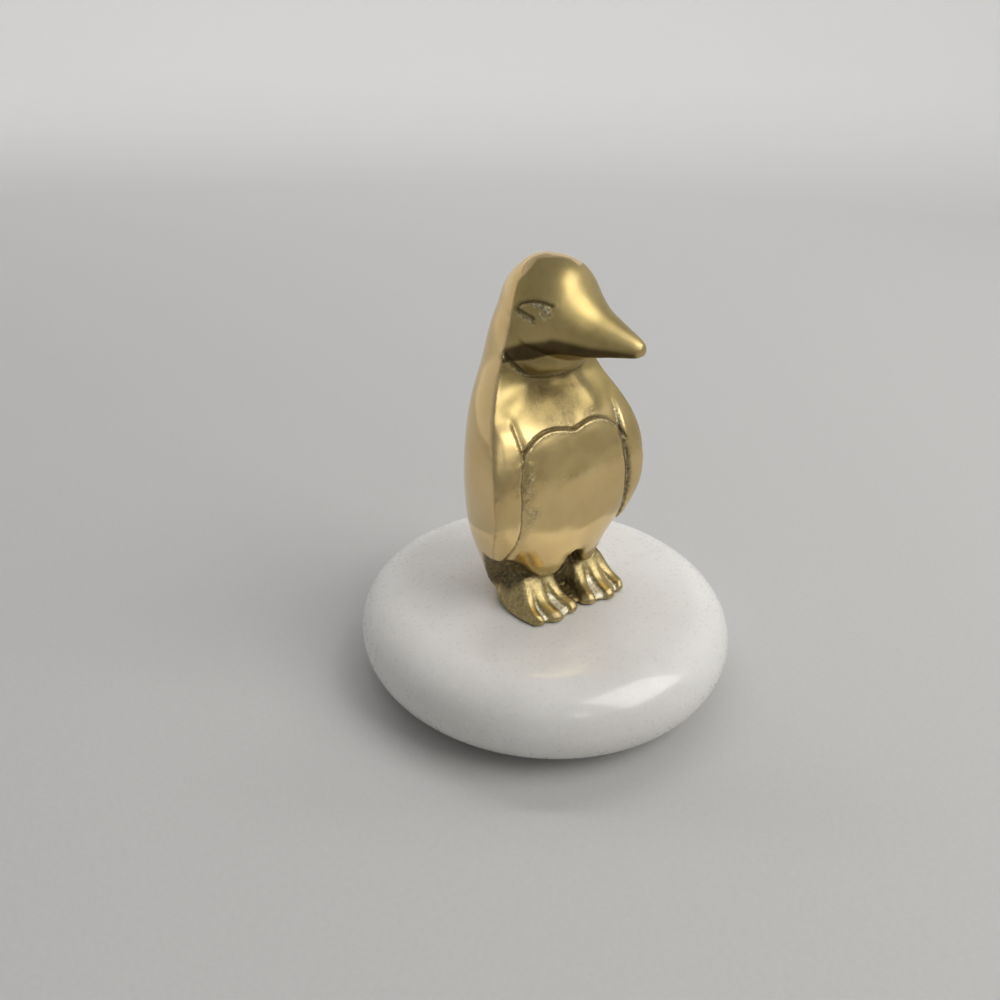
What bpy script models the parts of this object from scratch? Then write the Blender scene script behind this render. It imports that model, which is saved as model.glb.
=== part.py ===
"""Brass penguin paperweight: a cast figure bolted through a round marble base with a felt pad below.

Metres, +Z up. The origin is the centre of the felt's resting face, and the penguin faces -Y.
"""

import math

import bmesh
import bpy
from mathutils import Matrix, Vector

MM = 0.001
OBJECT_NAME = "penguin_paperweight"

# Fits
SEAT_GAP = 0.3 * MM
BOLT_CLEARANCE = 0.4 * MM
CUT_OVERRUN = 2 * MM

# Marble base
BASE_DIAMETER = 88.9 * MM
BASE_THICKNESS = 19.4 * MM
EDGE_REACH = 10.5 * MM
EDGE_STEPS = 10
COUNTERBORE_DIAMETER = 24 * MM
COUNTERBORE_DEPTH = 8.5 * MM

# Felt pad
FELT_THICKNESS = 1.2 * MM
FELT_INSET = 1.5 * MM
FELT_EDGE = 0.3 * MM

# Fastening
STUD_DIAMETER = 6 * MM
STUD_CHAMFER = 0.5 * MM
STUD_BELOW_NUT = 1 * MM
WASHER_DIAMETER = 18 * MM
WASHER_THICKNESS = 1.2 * MM
NUT_FLATS = 10 * MM
NUT_THICKNESS = 5 * MM
TAPPED_DEPTH = 13 * MM
TAPPED_SPARE = 1 * MM

# Sides of the round pieces
BASE_SIDES = 96
WASHER_SIDES = 48
STUD_SIDES = 32

# Figure
FIGURE_HEIGHT = 77.4 * MM
BODY_WIDTH = 43 * MM
BACK_DEPTH = 18.8 * MM
FRONT_DEPTH = 10 * MM
HOOD_SQUARENESS = 2.3
FRONT_SQUARENESS = 2.2
BODY_RINGS = 34
BACK_STEPS = 26
FLIPPER_STEPS = 4
BELLY_STEPS = 8

# Flippers lie folded on the front, raised above the belly by the groove at their inner edges
FLIPPER_GROOVE = 0.9 * MM
FLIPPER_CROWN = 0.5 * MM
FLIPPER_EDGE_WIDTH = 0.5 * MM
GROOVE_SHARE = 0.3
SHOULDER_LEVELS = (0.58, 0.64)
FLIPPER_TIP_LEVELS = (0.13, 0.18)

# Head and beak
HEAD_TURN = math.radians(19)
HEAD_SETBACK = 5 * MM
HEAD_WIDTH = 22 * MM
BEAK_REACH = 23.3 * MM
BEAK_TIP_LEVEL = 60.6 * MM
JAW_LEVEL = 57 * MM
HOOD_DROP = 1.2 * MM
THROAT_RADIUS = 10.2 * MM
THROAT_HEIGHT = 6.2 * MM
THROAT_LEVEL = 57.8 * MM
THROAT_FORWARD = -0.8 * MM
JAW_SHARE = 0.36
JAW_SQUARENESS = 2.7
FACE_STEPS = 28
FACE_RINGS = 22
THROAT_STEPS = 24

# Breast outline, a chased line whose two lobes meet above the belly
BREAST_LINE_WIDTH = 0.8 * MM
BREAST_LINE_STEPS = 36

# Belly rim and ankles
ANKLE_DEPTH = 1.7 * MM
LEG_RECESS_DEPTH = 3.6 * MM
LEG_RECESS_WIDTH = 5.4 * MM
RECESS_SQUARENESS = 4
TAPPED_WALL = 1.4 * MM
ANKLE_STATIONS = 61

# Feet
FOOT_LENGTH = 20.5 * MM
FOOT_FORWARD = 14.5 * MM
FOOT_WIDTH = 15 * MM
FOOT_GAP = 1 * MM
HEEL_SPREAD = 2.8 * MM
INSTEP_HEIGHT = 9.5 * MM
FOOT_EDGE_HEIGHT = 0.5 * MM
FLANK_DROP = 0.86
FLANK_CURVE = 1.5
INNER_DROP = 0.5
TOE_HALF_WIDTH = 0.1
TOE_FAN = (0.44, 1)
WEB_START = (0.55, 0.75)
WEB_DROP = 1 * MM
WEB_NOTCH = 0.9 * MM
TOE_ARC = 1.9 * MM
TOE_ARC_CENTRE = 0.5
NAIL_DROP = 0.7 * MM
NAIL_START = 0.92
FOOT_RINGS = 18
FOOT_STEPS = 28
FOOT_WEB_WIDTH = 8 * MM
FOOT_WEB_LENGTH = 20 * MM
FOOT_WEB_FORWARD = 11.5 * MM
FOOT_WEB_HEIGHT = 1.8 * MM

# Heights of the stack
BASE_UNDERSIDE = FELT_THICKNESS + SEAT_GAP
BASE_TOP = BASE_UNDERSIDE + BASE_THICKNESS
FIGURE_FOOT = BASE_TOP + SEAT_GAP
WASHER_TOP = BASE_UNDERSIDE + COUNTERBORE_DEPTH - SEAT_GAP
NUT_TOP = WASHER_TOP - WASHER_THICKNESS - SEAT_GAP
STUD_FOOT = NUT_TOP - NUT_THICKNESS - STUD_BELOW_NUT
STUD_TOP = FIGURE_FOOT + TAPPED_DEPTH - TAPPED_SPARE
STUD_HOLE_DIAMETER = STUD_DIAMETER + 2 * BOLT_CLEARANCE
HOOD_HEIGHT = FIGURE_HEIGHT - HOOD_DROP

# Each profile gives a share at a share of the figure's height
HALF_WIDTH = ((0, 0.56), (0.06, 0.69), (0.13, 0.78), (0.23, 0.925), (0.35, 1), (0.46, 0.995),
              (0.55, 0.925), (0.61, 0.83), (0.66, 0.72), (0.72, 0.61), (0.8, 0.53), (0.88, 0.45),
              (0.94, 0.385), (0.98, 0.275))
BACK_REACH = ((0, 0.42), (0.06, 0.6), (0.13, 0.77), (0.23, 0.93), (0.35, 1), (0.46, 0.99), (0.55, 0.98),
              (0.66, 0.98), (0.74, 0.96), (0.82, 0.91), (0.88, 0.83), (0.94, 0.755), (0.98, 0.61))
EDGE_FORWARD = ((0, -0.1), (0.13, 0.06), (0.23, 0.44), (0.34, 0.7), (0.46, 0.6), (0.55, 0.33),
                (0.61, 0.05), (0.66, -0.2), (0.72, -0.35), (0.8, -0.38), (1, -0.38))
BREAST_FORWARD = ((0, 0.62), (0.1, 0.84), (0.23, 1), (0.34, 1), (0.45, 0.85), (0.55, 0.6),
                  (0.63, 0.15), (0.68, -0.15), (0.75, -0.1), (0.84, 0.1), (0.92, 0.05), (0.98, -0.25))
FLIPPER_INNER = ((0, 0.94), (0.16, 0.94), (0.2, 0.88), (0.25, 0.8), (0.3, 0.755), (0.37, 0.735),
                 (0.45, 0.715), (0.51, 0.69), (0.56, 0.74), (0.6, 0.8), (0.64, 0.86), (1, 0.86))

# Each row of the face: reach along the beak, top, underside and half width, as shares
FACE_ROWS = ((-0.4, 0.62, 0.3, 0.42), (-0.3, 0.81, 0.16, 0.64), (-0.12, 0.975, 0.03, 0.88),
             (0.04, 1, 0, 0.96), (0.2, 0.975, 0, 0.93), (0.33, 0.88, 0.01, 0.84),
             (0.45, 0.69, 0.035, 0.7), (0.56, 0.56, 0.06, 0.57), (0.7, 0.46, 0.09, 0.43),
             (0.83, 0.38, 0.11, 0.31), (0.94, 0.31, 0.125, 0.21), (0.985, 0.27, 0.15, 0.13))

# One half of the breast outline: share of the body's half width, and level
BREAST_LINE = ((0, 0.529), (0.11, 0.539), (0.25, 0.55), (0.39, 0.549), (0.52, 0.533),
               (0.62, 0.505), (0.66, 0.485))

# Height of the belly's lower rim, as shares of the body's half width and the figure's height
BELLY_RIM = ((0, 0.173), (0.074, 0.167), (0.121, 0.145), (0.177, 0.116), (0.256, 0.103), (0.35, 0.101),
             (0.44, 0.12), (0.56, 0.152), (0.7, 0.176), (1.2, 0.188))

# Share of the foot's width, and of the instep's height, along the foot from its heel
FOOT_OUTER = ((0, 0.58), (0.12, 0.75), (0.22, 0.89), (0.52, 1), (0.75, 0.99), (0.9, 0.95), (1, 0.91))
INSTEP = ((0, 0.8), (0.35, 1), (0.55, 0.82), (0.675, 0.52), (0.79, 0.33), (1, 0.22))

# Each toe's place across the foot, at its tip and at the ankle
TOES = ((0.13, 0.2), (0.58, 0.5), (0.94, 0.66))


def smooth_curve(rows, at, column=1):
    """Value at a place on a smooth curve through the rows' points."""
    if at <= rows[0][0]:
        return rows[0][column]
    if at >= rows[-1][0]:
        return rows[-1][column]
    i = max(k for k in range(len(rows) - 1) if rows[k][0] <= at)
    before, start, end, after = (rows[min(max(k, 0), len(rows) - 1)] for k in range(i - 1, i + 3))
    span = end[0] - start[0]
    t = (at - start[0]) / span
    slope_in = (end[column] - before[column]) / (end[0] - before[0]) * span
    slope_out = (after[column] - start[column]) / (after[0] - start[0]) * span
    leaving = (2 * t**3 - 3 * t**2 + 1) * start[column] + (t**3 - 2 * t**2 + t) * slope_in
    arriving = (3 * t**2 - 2 * t**3) * end[column] + (t**3 - t**2) * slope_out
    return leaving + arriving


def signed_power(value, exponent):
    return math.copysign(abs(value) ** exponent, value)


def smooth_step(start, end, at):
    t = min(max((at - start) / (end - start), 0), 1)
    return t * t * (3 - 2 * t)


def make_material(name, color, roughness, metallic):
    material = bpy.data.materials.new(name)
    material.use_nodes = True
    material.diffuse_color = (*color, 1)
    shader = material.node_tree.nodes["Principled BSDF"]
    shader.inputs["Base Color"].default_value = (*color, 1)
    shader.inputs["Roughness"].default_value = roughness
    shader.inputs["Metallic"].default_value = metallic
    return material


def make_collection(name):
    collection = bpy.data.collections.new(name)
    bpy.context.scene.collection.children.link(collection)
    return collection


def add_object(name, mesh, collection, material=None):
    item = bpy.data.objects.new(name, mesh)
    collection.objects.link(item)
    if material:
        mesh.materials.append(material)
    return item


def as_cutter(item):
    item.hide_render = True
    item.display_type = "WIRE"
    return item


def skin(name, rings, end_points=()):
    """Closed mesh through rings of points. An end closes to its end point, or across from side to side."""
    mesh = bpy.data.meshes.new(name)
    shape = bmesh.new()
    loops = [[shape.verts.new(point) for point in ring] for ring in rings]
    count = len(rings[0])
    for low, high in zip(loops, loops[1:]):
        for k in range(count):
            after = (k + 1) % count
            shape.faces.new((low[k], low[after], high[after]))
            shape.faces.new((low[k], high[after], high[k]))
    for loop, point in zip((loops[0], loops[-1]), end_points):
        tip = shape.verts.new(point)
        for k in range(count):
            shape.faces.new((tip, loop[k], loop[(k + 1) % count]))
    if not end_points:
        for loop in (loops[0], loops[-1]):
            for k in range(count // 2 - 1):
                shape.faces.new((loop[k], loop[k + 1], loop[-2 - k], loop[-1 - k]))
    bmesh.ops.recalc_face_normals(shape, faces=shape.faces)
    shape.to_mesh(mesh)
    shape.free()
    return mesh


def shade(mesh, angle=35):
    mesh.shade_smooth()
    mesh.set_sharp_from_angle(angle=math.radians(angle))


def turned(name, profile, collection, material, steps=BASE_SIDES):
    """Shape turned about Z from a profile that runs from top to bottom on its outer side."""
    mesh = bpy.data.meshes.new(name)
    count = len(profile)
    closed = profile[0][0] > 0
    edges = [(k, k + 1) for k in range(count - 1)]
    if closed:
        edges.append((count - 1, 0))
    mesh.from_pydata([(radius, 0, z) for radius, z in profile], edges, [])
    item = add_object(name, mesh, collection, material)
    screw = item.modifiers.new("Turn", "SCREW")
    screw.steps = steps
    screw.render_steps = steps
    screw.use_merge_vertices = True
    screw.merge_threshold = 0.00001
    screw.use_smooth_shade = False
    return item


def cut(item, cutter, operation="DIFFERENCE"):
    boolean = item.modifiers.new(operation.title(), "BOOLEAN")
    boolean.operation = operation
    boolean.solver = "EXACT"
    boolean.object = cutter


def settle(item):
    """Item with its modifiers applied."""
    graph = bpy.context.evaluated_depsgraph_get()
    mesh = bpy.data.meshes.new_from_object(item.evaluated_get(graph))
    item.modifiers.clear()
    item.data = mesh
    return item


def edge_profile():
    """Half of the base's rounded side, from its flat top round to its flat underside."""
    outer = BASE_DIAMETER / 2
    middle = BASE_UNDERSIDE + BASE_THICKNESS / 2
    points = []
    for k in range(2 * EDGE_STEPS + 1):
        angle = math.pi / 2 - math.pi * k / (2 * EDGE_STEPS)
        radius = outer - EDGE_REACH * (1 - math.cos(angle))
        points.append((radius, middle + BASE_THICKNESS / 2 * math.sin(angle)))
    return points


def make_base(collection, material):
    """Marble disc with a stud hole and a counterbore that takes the washer and nut."""
    hole = STUD_HOLE_DIAMETER / 2
    pocket = COUNTERBORE_DIAMETER / 2
    pocket_roof = BASE_UNDERSIDE + COUNTERBORE_DEPTH
    bore = [(pocket, BASE_UNDERSIDE), (pocket, pocket_roof), (hole, pocket_roof), (hole, BASE_TOP)]
    base = turned("marble_base", edge_profile() + bore, collection, material)
    settle(base)
    shade(base.data)


def make_felt(collection, material):
    radius = BASE_DIAMETER / 2 - EDGE_REACH - FELT_INSET
    profile = [
        (0, FELT_THICKNESS),
        (radius - FELT_EDGE, FELT_THICKNESS),
        (radius, FELT_THICKNESS - FELT_EDGE),
        (radius, 0),
        (0, 0),
    ]
    turned("felt_pad", profile, collection, material)


def make_stud(collection, material):
    radius = STUD_DIAMETER / 2
    profile = [
        (0, STUD_TOP),
        (radius - STUD_CHAMFER, STUD_TOP),
        (radius, STUD_TOP - STUD_CHAMFER),
        (radius, STUD_FOOT + STUD_CHAMFER),
        (radius - STUD_CHAMFER, STUD_FOOT),
        (0, STUD_FOOT),
    ]
    turned("threaded_stud", profile, collection, material, STUD_SIDES)


def make_washer(collection, material):
    hole = STUD_HOLE_DIAMETER / 2
    bottom = WASHER_TOP - WASHER_THICKNESS
    radius = WASHER_DIAMETER / 2
    profile = [(radius, WASHER_TOP), (radius, bottom), (hole, bottom), (hole, WASHER_TOP)]
    turned("washer", profile, collection, material, WASHER_SIDES)


def add_cylinder(name, radius, bottom, top, collection, sides):
    mesh = bpy.data.meshes.new(name)
    shape = bmesh.new()
    place = Matrix.Translation((0, 0, (bottom + top) / 2))
    size = {"radius1": radius, "radius2": radius, "depth": top - bottom}
    bmesh.ops.create_cone(shape, cap_ends=True, segments=sides, matrix=place, **size)
    shape.to_mesh(mesh)
    shape.free()
    return add_object(name, mesh, collection)


def make_nut(collection, cutters, material):
    corner = NUT_FLATS / 2 / math.cos(math.pi / 6)
    bottom = NUT_TOP - NUT_THICKNESS
    nut = add_cylinder("hex_nut", corner, bottom, NUT_TOP, collection, 6)
    nut.data.materials.append(material)
    low, high = bottom - CUT_OVERRUN, NUT_TOP + CUT_OVERRUN
    hole = add_cylinder("nut_hole", STUD_HOLE_DIAMETER / 2, low, high, cutters, STUD_SIDES)
    cut(nut, as_cutter(hole))


def body_ring(level):
    """Section of body and hood at a share of the height: rounded back, crisp side edges, flatter front."""
    height = FIGURE_FOOT + level * HOOD_HEIGHT
    half_width = smooth_curve(HALF_WIDTH, level) * BODY_WIDTH / 2
    edge = smooth_curve(EDGE_FORWARD, level) * FRONT_DEPTH
    back = smooth_curve(BACK_REACH, level) * BACK_DEPTH
    breast = smooth_curve(BREAST_FORWARD, level) * FRONT_DEPTH
    inner = smooth_curve(FLIPPER_INNER, level) * half_width
    raised = smooth_step(*FLIPPER_TIP_LEVELS, level) * (1 - smooth_step(*SHOULDER_LEVELS, level))

    def front(across):
        return breast + (edge - breast) * (across / half_width) ** FRONT_SQUARENESS

    side = []
    for k in range(BELLY_STEPS + 1):
        share = k / BELLY_STEPS
        groove = FLIPPER_GROOVE * raised * smooth_step(1 - GROOVE_SHARE, 1, share)
        side.append((share * inner, front(share * inner) - groove))
    for k in range(FLIPPER_STEPS + 1):
        share = k / FLIPPER_STEPS
        across = inner + FLIPPER_EDGE_WIDTH + (half_width - inner - FLIPPER_EDGE_WIDTH) * share
        side.append((across, front(across) + FLIPPER_CROWN * raised * math.sin(math.pi * share)))
    for k in range(1, BACK_STEPS // 2 + 1):
        angle = math.pi * k / BACK_STEPS
        across = half_width * signed_power(math.cos(angle), 2 / HOOD_SQUARENESS)
        side.append((across, edge - (edge + back) * math.sin(angle) ** (2 / HOOD_SQUARENESS)))
    left = [Vector((across, -forward, height)) for across, forward in side]
    right = [Vector((-point.x, point.y, height)) for point in reversed(left[1:-1])]
    return left + right


def make_body(collection):
    top_level = HALF_WIDTH[-1][0]
    rings = [body_ring(top_level * k / (BODY_RINGS - 1)) for k in range(BODY_RINGS)]
    bottom = Vector((0, 0, FIGURE_FOOT))
    crown = Vector((0, HEAD_SETBACK, FIGURE_FOOT + HOOD_HEIGHT))
    return add_object("penguin_casting", skin("penguin_casting", rings, (bottom, crown)), collection)


def head_point(reach, aside, height):
    """Point in the head's own frame: reach along the beak, aside to its left."""
    place = Matrix.Translation((0, HEAD_SETBACK, FIGURE_FOOT)) @ Matrix.Rotation(HEAD_TURN, 4, "Z")
    return place @ Vector((aside, -reach, height))


def face_ring(reach_share, top_share, under_share, width_share):
    """Section across the beak or cheeks, widest low down at the jaw."""
    span = FIGURE_HEIGHT - JAW_LEVEL
    top = JAW_LEVEL + top_share * span
    under = JAW_LEVEL + under_share * span
    widest = under + JAW_SHARE * (top - under)
    ring = []
    for k in range(FACE_STEPS):
        angle = 2 * math.pi * k / FACE_STEPS
        above = math.sin(angle) > 0
        power = 1 if above else 2 / JAW_SQUARENESS
        aside = width_share * HEAD_WIDTH / 2 * signed_power(math.cos(angle), power)
        height = widest + (top - widest if above else widest - under) * signed_power(math.sin(angle), power)
        ring.append(head_point(reach_share * BEAK_REACH, aside, height))
    return ring


def make_face(collection):
    first, last = FACE_ROWS[0][0], FACE_ROWS[-1][0]
    rings = []
    for k in range(FACE_RINGS):
        reach = first + (last - first) * k / (FACE_RINGS - 1)
        rings.append(face_ring(reach, *(smooth_curve(FACE_ROWS, reach, column) for column in (1, 2, 3))))
    inside = head_point(first * BEAK_REACH, 0, (JAW_LEVEL + FIGURE_HEIGHT) / 2)
    tip = head_point(BEAK_REACH, 0, BEAK_TIP_LEVEL)
    return add_object("face", skin("face", rings, (inside, tip)), collection)


def add_ellipsoid(name, radii, centre, collection):
    mesh = bpy.data.meshes.new(name)
    shape = bmesh.new()
    place = Matrix.Translation(centre) @ Matrix.Diagonal((*radii, 1))
    bmesh.ops.create_uvsphere(
        shape, u_segments=THROAT_STEPS, v_segments=THROAT_STEPS // 2, radius=1, matrix=place
    )
    shape.to_mesh(mesh)
    shape.free()
    return add_object(name, mesh, collection)


def make_throat(collection):
    radii = (THROAT_RADIUS, THROAT_RADIUS, THROAT_HEIGHT)
    return add_ellipsoid("throat", radii, head_point(THROAT_FORWARD, 0, THROAT_LEVEL), collection)


def front_reach(across, level):
    """How far forward the figure's front stands at a place across it, without the flippers' relief."""
    half_width = smooth_curve(HALF_WIDTH, level) * BODY_WIDTH / 2
    edge = smooth_curve(EDGE_FORWARD, level) * FRONT_DEPTH
    breast = smooth_curve(BREAST_FORWARD, level) * FRONT_DEPTH
    return breast + (edge - breast) * min(abs(across) / half_width, 1) ** FRONT_SQUARENESS


def make_breast_line(collection):
    """Round cutter that runs along the breast's two-lobed outline, half sunk in the front."""
    curve = bpy.data.curves.new("breast_line", "CURVE")
    curve.dimensions = "3D"
    curve.bevel_depth = BREAST_LINE_WIDTH / 2
    curve.bevel_resolution = 1
    curve.use_fill_caps = True
    line = curve.splines.new("POLY")
    line.points.add(BREAST_LINE_STEPS)
    widest = BREAST_LINE[-1][0]
    for k, point in enumerate(line.points):
        share = widest * (2 * k / BREAST_LINE_STEPS - 1)
        level = smooth_curve(BREAST_LINE, abs(share))
        across = share * BODY_WIDTH / 2
        height = FIGURE_FOOT + level * HOOD_HEIGHT
        point.co = (across, -front_reach(across, level), height, 1)
    path = bpy.data.objects.new("breast_line_path", curve)
    collection.objects.link(path)
    graph = bpy.context.evaluated_depsgraph_get()
    mesh = bpy.data.meshes.new_from_object(path.evaluated_get(graph))
    bpy.data.objects.remove(path)
    return add_object("breast_line", mesh, collection)


def make_ankle_cut(collection):
    """Cutter under the belly's rim. It draws the ankles in, and goes deeper between the legs."""
    half = BODY_WIDTH / 2
    behind = STUD_HOLE_DIAMETER / 2 + TAPPED_WALL
    rings = []
    for k in range(ANKLE_STATIONS):
        across = half * (2 * k / (ANKLE_STATIONS - 1) - 1)
        rim = smooth_curve(BELLY_RIM, abs(across) / half)
        recess = LEG_RECESS_DEPTH * math.exp(-((2 * across / LEG_RECESS_WIDTH) ** RECESS_SQUARENESS))
        depth = ANKLE_DEPTH * (1 - (across / half) ** RECESS_SQUARENESS) + recess
        top = FIGURE_FOOT + rim * HOOD_HEIGHT
        bottom = FIGURE_FOOT - CUT_OVERRUN
        upper, lower = (front_reach(across, level) - depth for level in (rim, 0))
        if recess > ANKLE_DEPTH / 2:
            upper, lower = max(upper, behind), max(lower, behind)
        rings.append([
            Vector((across, -upper, top)),
            Vector((across, -lower, bottom)),
            Vector((across, -2 * FRONT_DEPTH, bottom)),
            Vector((across, -2 * FRONT_DEPTH, top)),
        ])
    return add_object("ankle_cut", skin("ankle_cut", rings), collection)


def foot_point(along, across, side):
    """Point on a foot's top: along from heel to toe tips, across from its inner to its outer side."""
    fan = smooth_step(*TOE_FAN, along)
    places = [ankle + (tip - ankle) * fan for tip, ankle in TOES]
    crest = max(math.exp(-(((across - place) / TOE_HALF_WIDTH) ** 2)) for place in places)
    if across > places[-1]:
        crest = 1
    web = (1 - crest) * smooth_step(*WEB_START, along)
    flank = max((across - places[-1]) / (1 - places[-1]), 0) ** FLANK_CURVE
    inside = max(1 - across / TOES[0][0], 0) ** FLANK_CURVE
    share = (1 - FLANK_DROP * flank) * (1 - INNER_DROP * inside)
    nail = NAIL_DROP * smooth_step(NAIL_START, 1, along)
    height = INSTEP_HEIGHT * smooth_curve(INSTEP, along) * share - WEB_DROP * web - nail
    inner = FOOT_GAP / 2 + (1 - along) * HEEL_SPREAD
    outer = smooth_curve(FOOT_OUTER, along) * FOOT_WIDTH
    reach = FOOT_LENGTH - TOE_ARC * (2 * (across - TOE_ARC_CENTRE)) ** 2 - WEB_NOTCH * web
    forward = FOOT_FORWARD - FOOT_LENGTH + along * reach
    sideways = side * (inner + across * (outer - inner))
    return Vector((sideways, -forward, FIGURE_FOOT + max(height, FOOT_EDGE_HEIGHT)))


def make_foot(side, collection):
    rings = []
    for i in range(FOOT_RINGS):
        along = i / (FOOT_RINGS - 1)
        top = [foot_point(along, k / FOOT_STEPS, side) for k in range(FOOT_STEPS + 1)]
        sole = [Vector((point.x, point.y, FIGURE_FOOT)) for point in reversed(top)]
        rings.append(top + sole)
    return add_object("foot", skin("foot", rings), collection)


def make_foot_web(collection):
    """Low oval plate that joins the two feet under the belly."""
    web = add_cylinder("foot_web", FOOT_WEB_WIDTH / 2, 0, FOOT_WEB_HEIGHT, collection, STUD_SIDES)
    web.data.transform(Matrix.Diagonal((1, FOOT_WEB_LENGTH / FOOT_WEB_WIDTH, 1, 1)))
    web.data.transform(Matrix.Translation((0, FOOT_WEB_LENGTH / 2 - FOOT_WEB_FORWARD, FIGURE_FOOT)))
    return web


def make_casting(collection, cutters, material):
    """Figure cast in one piece, with a tapped hole in its underside."""
    body = make_body(collection)
    cut(body, as_cutter(make_ankle_cut(cutters)))
    cut(body, as_cutter(make_breast_line(cutters)))
    joined = [make_face(cutters), make_throat(cutters), make_foot(1, cutters), make_foot(-1, cutters)]
    for item in joined + [make_foot_web(cutters)]:
        cut(body, as_cutter(item), "UNION")
    low, high = FIGURE_FOOT - CUT_OVERRUN, FIGURE_FOOT + TAPPED_DEPTH
    hole = add_cylinder("tapped_hole", STUD_HOLE_DIAMETER / 2, low, high, cutters, STUD_SIDES)
    cut(body, as_cutter(hole))
    settle(body)
    body.data.materials.clear()
    body.data.materials.append(material)
    shade(body.data)


def main():
    for item in list(bpy.data.objects):
        bpy.data.objects.remove(item)
    parts = make_collection(OBJECT_NAME)
    cutters = make_collection("cutters")
    brass = make_material("brass", (0.61, 0.45, 0.19), 0.28, 1)
    marble = make_material("marble", (0.72, 0.71, 0.68), 0.18, 0)
    felt = make_material("felt", (0.03, 0.07, 0.05), 0.95, 0)
    steel = make_material("steel", (0.55, 0.55, 0.56), 0.35, 1)
    make_casting(parts, cutters, brass)
    make_base(parts, marble)
    make_felt(parts, felt)
    make_stud(parts, steel)
    make_washer(parts, steel)
    make_nut(parts, cutters, steel)


main()
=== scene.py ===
"""Looks of the brass penguin paperweight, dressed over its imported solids."""

import math

import bmesh
import bpy
import numpy as np
from mathutils import Matrix, Vector
from mathutils.bvhtree import BVHTree


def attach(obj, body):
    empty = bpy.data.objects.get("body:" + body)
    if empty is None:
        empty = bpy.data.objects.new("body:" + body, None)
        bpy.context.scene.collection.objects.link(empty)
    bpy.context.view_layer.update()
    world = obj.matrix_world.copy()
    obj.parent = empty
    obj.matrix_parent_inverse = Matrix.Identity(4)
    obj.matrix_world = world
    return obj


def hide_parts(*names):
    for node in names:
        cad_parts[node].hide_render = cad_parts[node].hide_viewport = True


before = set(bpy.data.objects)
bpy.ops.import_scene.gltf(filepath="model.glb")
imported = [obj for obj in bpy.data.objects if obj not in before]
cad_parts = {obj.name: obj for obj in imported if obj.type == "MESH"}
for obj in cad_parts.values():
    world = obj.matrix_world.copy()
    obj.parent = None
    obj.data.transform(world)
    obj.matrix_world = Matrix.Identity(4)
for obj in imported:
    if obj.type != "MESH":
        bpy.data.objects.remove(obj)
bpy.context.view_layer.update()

MM = 0.001

# Sizes shared with the solids, in millimetres
SEAT_GAP = 0.3
BOLT_CLEARANCE = 0.4
BASE_DIAMETER = 88.9
BASE_THICKNESS = 19.4
EDGE_REACH = 10.5
COUNTERBORE_DIAMETER = 24
COUNTERBORE_DEPTH = 8.5
FELT_THICKNESS = 1.2
FELT_INSET = 1.5
STUD_DIAMETER = 6
WASHER_DIAMETER = 18
WASHER_THICKNESS = 1.2
NUT_FLATS = 10
NUT_THICKNESS = 5
TAPPED_DEPTH = 13
TAPPED_SPARE = 1
STUD_BELOW_NUT = 1
FIGURE_HEIGHT = 77.4
BODY_WIDTH = 43
BACK_DEPTH = 18.8
FRONT_DEPTH = 10
HOOD_SQUARENESS = 2.3
FRONT_SQUARENESS = 2.2
HEAD_TURN = math.radians(19)
HEAD_SETBACK = 5
HEAD_WIDTH = 22
BEAK_REACH = 23.3
BEAK_TIP_LEVEL = 60.6
JAW_LEVEL = 57
HOOD_DROP = 1.2
JAW_SHARE = 0.36
JAW_SQUARENESS = 2.7

BASE_UNDERSIDE = FELT_THICKNESS + SEAT_GAP
BASE_TOP = BASE_UNDERSIDE + BASE_THICKNESS
FIGURE_FOOT = BASE_TOP + SEAT_GAP
WASHER_TOP = BASE_UNDERSIDE + COUNTERBORE_DEPTH - SEAT_GAP
NUT_TOP = WASHER_TOP - WASHER_THICKNESS - SEAT_GAP
STUD_FOOT = NUT_TOP - NUT_THICKNESS - STUD_BELOW_NUT
STUD_TOP = FIGURE_FOOT + TAPPED_DEPTH - TAPPED_SPARE
HOLE_RADIUS = STUD_DIAMETER / 2 + BOLT_CLEARANCE

# The body's section by level, a share of the hood's height. Each value is a share of the matching size.
HALF_WIDTH = ((0, 0.56), (0.06, 0.69), (0.13, 0.78), (0.23, 0.925), (0.35, 1), (0.46, 0.995),
              (0.55, 0.925), (0.61, 0.83), (0.66, 0.72), (0.72, 0.61), (0.8, 0.53), (0.88, 0.45),
              (0.94, 0.39), (0.98, 0.29))
BACK_REACH_SHARE = ((0, 0.42), (0.06, 0.6), (0.13, 0.77), (0.23, 0.93), (0.35, 1), (0.46, 0.99),
                    (0.55, 0.98), (0.66, 0.98), (0.74, 0.96), (0.82, 0.91), (0.88, 0.83), (0.94, 0.76),
                    (0.98, 0.63))
EDGE_FORWARD = ((0, -0.1), (0.13, 0.06), (0.23, 0.44), (0.34, 0.7), (0.46, 0.6), (0.55, 0.33),
                (0.61, 0.05), (0.66, -0.2), (0.72, -0.35), (0.8, -0.38), (1, -0.38))
BREAST_FORWARD = ((0, 0.62), (0.1, 0.84), (0.23, 1), (0.34, 1), (0.45, 0.85), (0.55, 0.6),
                  (0.63, 0.15), (0.68, -0.15), (0.75, -0.1), (0.84, 0.1), (0.92, 0.05), (0.98, -0.25))
FLIPPER_INNER = ((0, 0.94), (0.16, 0.94), (0.2, 0.88), (0.25, 0.8), (0.3, 0.755), (0.37, 0.735),
                 (0.45, 0.715), (0.51, 0.69), (0.56, 0.74), (0.6, 0.8), (0.64, 0.86), (1, 0.86))
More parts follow.
